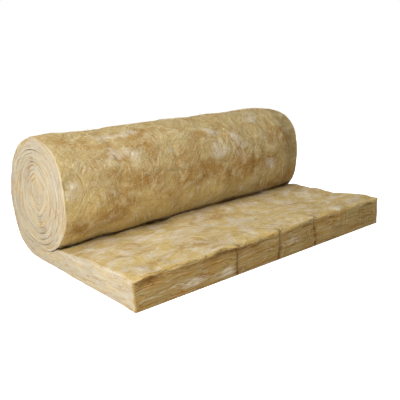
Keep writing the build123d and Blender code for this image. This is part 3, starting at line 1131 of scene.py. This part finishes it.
here = add_node(grower_tree, "GeometryNodeInputPosition").outputs[0]
noise = {"Vector": here, "Scale": 28.0, "Detail": 1.0}  # bends some 35 mm across
noise = {0: add_node(grower_tree, "ShaderNodeTexNoise", inputs=noise).outputs["Color"], 1: (0.5,) * 3}
noise = add_node(grower_tree, "ShaderNodeVectorMath", {"operation": "SUBTRACT"}, noise).outputs[0]
noise = {0: noise, "Scale": given["Bend"]}
noise = add_node(grower_tree, "ShaderNodeVectorMath", {"operation": "SCALE"}, noise).outputs[0]
bent = {"Geometry": strewn, "Offset": noise}
bent = add_node(grower_tree, "GeometryNodeSetPosition", inputs=bent).outputs[0]
sunk = {0: FLOOR_GAP, 1: add_node(grower_tree, "ShaderNodeSeparateXYZ", inputs={0: here}).outputs["Z"]}
sunk = {0: add_node(grower_tree, "ShaderNodeMath", {"operation": "SUBTRACT"}, sunk).outputs[0], 1: 0.0}
sunk = add_node(grower_tree, "ShaderNodeMath", {"operation": "MAXIMUM"}, sunk).outputs[0]
raised = {"Geometry": bent}
raised["Offset"] = add_node(grower_tree, "ShaderNodeCombineXYZ", inputs={"Z": sunk}).outputs[0]
raised = add_node(grower_tree, "GeometryNodeSetPosition", inputs=raised).outputs[0]
painted = {"Geometry": raised, "Material": given["Material"]}
painted = add_node(grower_tree, "GeometryNodeSetMaterial", inputs=painted).outputs[0]
add_node(grower_tree, "NodeGroupOutput", inputs={"Fibres": painted})
print("nodes in all", len(grower_tree.nodes))

# %% [markdown]
# ## Paint the loose fibres
# A glass thread is clear and smooth, so a bundle of them looks white with a faint glint, and a
# touch of binder makes some of it straw yellow. A true glass shader would cost much time on
# things a fraction of a millimetre thick, so the paint is opaque, paler or darker from place to
# place, and less rough than the felted skin.

# %% Paint the fibres
wisp_paint = bpy.data.materials.new("loose glass fibre")  # pale threads with a faint glint
tree = emptied(wisp_paint)
where = add_node(tree, "ShaderNodeTexCoord").outputs["Object"]
shade = {"Vector": where, "Scale": 45.0, "Detail": 1.0}  # paler and darker some 20 mm apart
shade = add_node(tree, "ShaderNodeTexNoise", inputs=shade).outputs[0]
glassy = {"Base Color": stain(tree, STRAW, FIBRE, shade, 0.42, 0.56)}
glassy.update({"Roughness": 0.6, "Specular IOR Level": 0.3})
glassy = add_node(tree, "ShaderNodeBsdfPrincipled", inputs=glassy).outputs[0]
add_node(tree, "ShaderNodeOutputMaterial", inputs={"Surface": glassy})
print("fibre paint nodes", len(tree.nodes))

# %% Grow the fibres and keep them as a plain mesh
settings = {"Per Square Metre": 1900.0, "Shortest": 0.012, "Longest": 0.050, "Thickness": 0.0065}
settings.update({"Bend": 0.016, "Seed": 5, "Material": wisp_paint})

fibres = bpy.data.objects.new("loose_glass_fibres", mesh.copy())
bpy.context.scene.collection.objects.link(fibres)
grower = fibres.modifiers.new("grow fibres", "NODES")
grower.node_group = grower_tree
for socket in grower_tree.interface.items_tree:
    if socket.name in settings:
        grower[socket.identifier] = settings[socket.name]
fibres.update_tag()
bpy.context.view_layer.update()
graph = bpy.context.evaluated_depsgraph_get()
grown = bpy.data.meshes.new_from_object(fibres.evaluated_get(graph))
fibres.modifiers.remove(grower)
fibres.data = grown
grown.materials.clear()
grown.materials.append(wisp_paint)
grown.polygons.foreach_set("material_index", [0] * len(grown.polygons))
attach(fibres, "root")
grown.calc_loop_triangles()
print("fibre triangles", len(grown.loop_triangles), "points", len(grown.vertices))

# %% [markdown]
# ## The floor and the background
# The photograph is cut out on white. A floor that glowed white would light the wool from below
# and wash its shadows out. So the floor glows, and the world is white, for the camera's own rays
# only. Every other ray meets a plain matt floor and a dim warm studio, and the floor still shows
# the shadow under the wool.

# %% Lay the floor
FLOOR_REACH = 6.0
FLOOR_GLOW = 0.93

floor_mesh = bpy.data.meshes.new("floor")
corners = [(-1, -1), (1, -1), (1, 1), (-1, 1)]
corners = [(x * FLOOR_REACH, y * FLOOR_REACH, 0) for x, y in corners]
floor_mesh.from_pydata(corners, [], [(0, 1, 2, 3)])
floor = bpy.data.objects.new("floor", floor_mesh)
bpy.context.scene.collection.objects.link(floor)

paper = bpy.data.materials.new("white studio paper")  # matt and shadow-catching, with no edge
tree = emptied(paper)
matt = add_node(tree, "ShaderNodeBsdfDiffuse", inputs={"Color": linear("#e9e9e9")}).outputs[0]
glow = add_node(tree, "ShaderNodeEmission", inputs={"Strength": FLOOR_GLOW}).outputs[0]
lit = add_node(tree, "ShaderNodeAddShader", inputs={0: matt, 1: glow}).outputs[0]
seen = add_node(tree, "ShaderNodeLightPath").outputs["Is Camera Ray"]
either = {"Fac": seen, 1: matt, 2: lit}
either = add_node(tree, "ShaderNodeMixShader", inputs=either).outputs[0]
add_node(tree, "ShaderNodeOutputMaterial", inputs={"Surface": either})
floor_mesh.materials.append(paper)
print("floor", 2 * FLOOR_REACH, "m wide")

# %% Fill the world with soft light
WORLD_STRENGTH = 0.15

world = bpy.data.worlds.new("studio")
bpy.context.scene.world = world
tree = emptied(world)
soft = {"Color": linear("#fff4e2"), "Strength": WORLD_STRENGTH}
soft = add_node(tree, "ShaderNodeBackground", inputs=soft).outputs[0]
plain_white = {"Color": (1, 1, 1, 1), "Strength": 1.0}
plain_white = add_node(tree, "ShaderNodeBackground", inputs=plain_white).outputs[0]
seen = add_node(tree, "ShaderNodeLightPath").outputs["Is Camera Ray"]
sky = {"Fac": seen, 1: soft, 2: plain_white}
sky = add_node(tree, "ShaderNodeMixShader", inputs=sky).outputs[0]
add_node(tree, "ShaderNodeOutputWorld", inputs={"Surface": sky})
print("world nodes", len(tree.nodes))

# %% [markdown]
# ## Four lamps
# In the photograph the left end of the roll is brightest, the tops come next and the fronts are
# in soft shade. One big lamp on the left does the most, as a window would. A lamp overhead lights
# the tops, a low one in front lifts the shade, and one behind on the right keeps the back from
# going black when the roll is turned. All are large, so the shadows have soft edges.

# %% Hang the lamps
# Each lamp's name, place, target, size in metres and power in watts.
LAMPS = [
    ("window lamp", (-2.3, -0.6, 1.2), (-0.2, 0.0, 0.2), 1.0, 52.0),
    ("ceiling lamp", (-0.3, 0.0, 2.4), (-0.1, 0.0, 0.2), 1.6, 31.0),
    ("back lamp", (2.2, 1.6, 0.6), (0.1, 0.1, 0.2), 1.6, 24.0),
    ("fill lamp", (-1.3, -2.4, 0.45), (-0.2, 0.0, 0.15), 1.4, 30.0),
]
for name, place, target, size, power in LAMPS:
    lamp = bpy.data.lights.new(name, "AREA")
    lamp.size = size
    lamp.energy = power
    holder = bpy.data.objects.new(name, lamp)
    holder.location = place
    holder.rotation_euler = (Vector(target) - Vector(place)).to_track_quat("-Z", "Y").to_euler()
    bpy.context.scene.collection.objects.link(holder)
print("lamps", len(LAMPS), "watts in all", sum(lamp[-1] for lamp in LAMPS))

# %% [markdown]
# ## The camera
# The camera stands where the photograph was taken. Its place, its turn and its lens were fitted
# until the corners of the leaf and the outline of the roll lay on those in the photograph. It is
# rolled by three degrees, because the photograph was.

# %% Set the camera where the photograph was taken
CAMERA_PLACE = (-1.2774, -1.6228, 0.6483)
CAMERA_TURN = 38.507  # degrees from +Y towards +X
CAMERA_TILT = -13.829
CAMERA_ROLL = -3.210
CAMERA_LENS = 48.79  # millimetres, on a sensor 36 mm wide

turn, tilt, roll = (math.radians(v) for v in (CAMERA_TURN, CAMERA_TILT, CAMERA_ROLL))
forward = Vector((math.cos(tilt) * math.sin(turn), math.cos(tilt) * math.cos(turn), math.sin(tilt)))
right = Vector((math.cos(turn), -math.sin(turn), 0.0))
upward = right.cross(forward)
rolled_right = right * math.cos(roll) + upward * math.sin(roll)
rolled_up = upward * math.cos(roll) - right * math.sin(roll)
facing = Matrix((rolled_right, rolled_up, -forward)).transposed()

camera_data = bpy.data.cameras.new("camera")
camera_data.sensor_width = 36.0
camera_data.lens = CAMERA_LENS
camera = bpy.data.objects.new("camera", camera_data)
camera.matrix_world = Matrix.Translation(CAMERA_PLACE) @ facing.to_4x4()
bpy.context.scene.collection.objects.link(camera)
bpy.context.scene.camera = camera
bpy.context.scene.view_settings.view_transform = "Standard"
print("camera", camera.matrix_world.translation)
